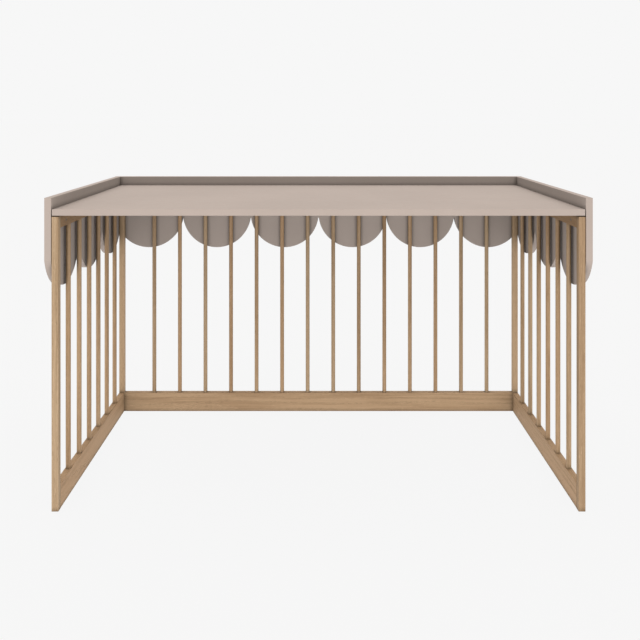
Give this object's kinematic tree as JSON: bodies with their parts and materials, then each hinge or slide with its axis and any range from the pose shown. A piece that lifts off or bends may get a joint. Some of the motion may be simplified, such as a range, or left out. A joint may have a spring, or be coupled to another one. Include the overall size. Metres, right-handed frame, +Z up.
{
  "type": "playpen desk",
  "caption": "Three-sided spindle playpen frame in oak with a lift-out lacquered desk top and scalloped skirt panels that stand above it as a rim; open front.",
  "frame": {"origin": "centre of the footprint on the floor", "axes": "+X to the right as seen from the open front, +Y to the back, +Z up"},
  "size_m": [1.272, 0.636, 0.727],
  "materials": {
    "oak": "light oak, matt clear oil",
    "greige_lacquer": "satin greige lacquer on fibreboard",
    "beech_dowel": "bare beech",
    "zinc_steel": "zinc plated",
    "nylon": "dark brown nylon",
    "bumper_rubber": "matt dark rubber"
  },
  "bodies": {
    "frame": {"back_bottom_rail": "oak", "back_skirt_panel": "greige_lacquer", "back_spindle_01": "oak", "back_spindle_02": "oak", "back_spindle_03": "oak", "back_spindle_04": "oak", "back_spindle_05": "oak", "back_spindle_06": "oak", "back_spindle_07": "oak", "back_spindle_08": "oak", "back_spindle_09": "oak", "back_spindle_10": "oak", "back_spindle_11": "oak", "back_spindle_12": "oak", "back_spindle_13": "oak", "back_spindle_14": "oak", "back_top_rail": "oak", "corner_barrel_nuts": "zinc_steel", "corner_bolts": "zinc_steel", "desktop_pads": "bumper_rubber", "desktop_pegs": "beech_dowel", "frame_dowels": "beech_dowel", "left_bottom_rail": "oak", "left_front_post": "oak", "left_rear_post": "oak", "left_skirt_panel": "greige_lacquer", "left_spindle_1": "oak", "left_spindle_2": "oak", "left_spindle_3": "oak", "left_spindle_4": "oak", "left_spindle_5": "oak", "left_spindle_6": "oak", "left_top_rail": "oak", "right_bottom_rail": "oak", "right_front_post": "oak", "right_rear_post": "oak", "right_skirt_panel": "greige_lacquer", "right_spindle_1": "oak", "right_spindle_2": "oak", "right_spindle_3": "oak", "right_spindle_4": "oak", "right_spindle_5": "oak", "right_spindle_6": "oak", "right_top_rail": "oak", "skirt_screws": "zinc_steel", "skirt_washers": "nylon"},
    "desktop": {"desktop": "greige_lacquer"}
  },
  "joints": [
    {"name": "desktop_lift", "type": "slide", "parent": "frame", "child": "desktop", "axis": [0, 0, 1], "range_m": [0, 0.12]}
  ]
}
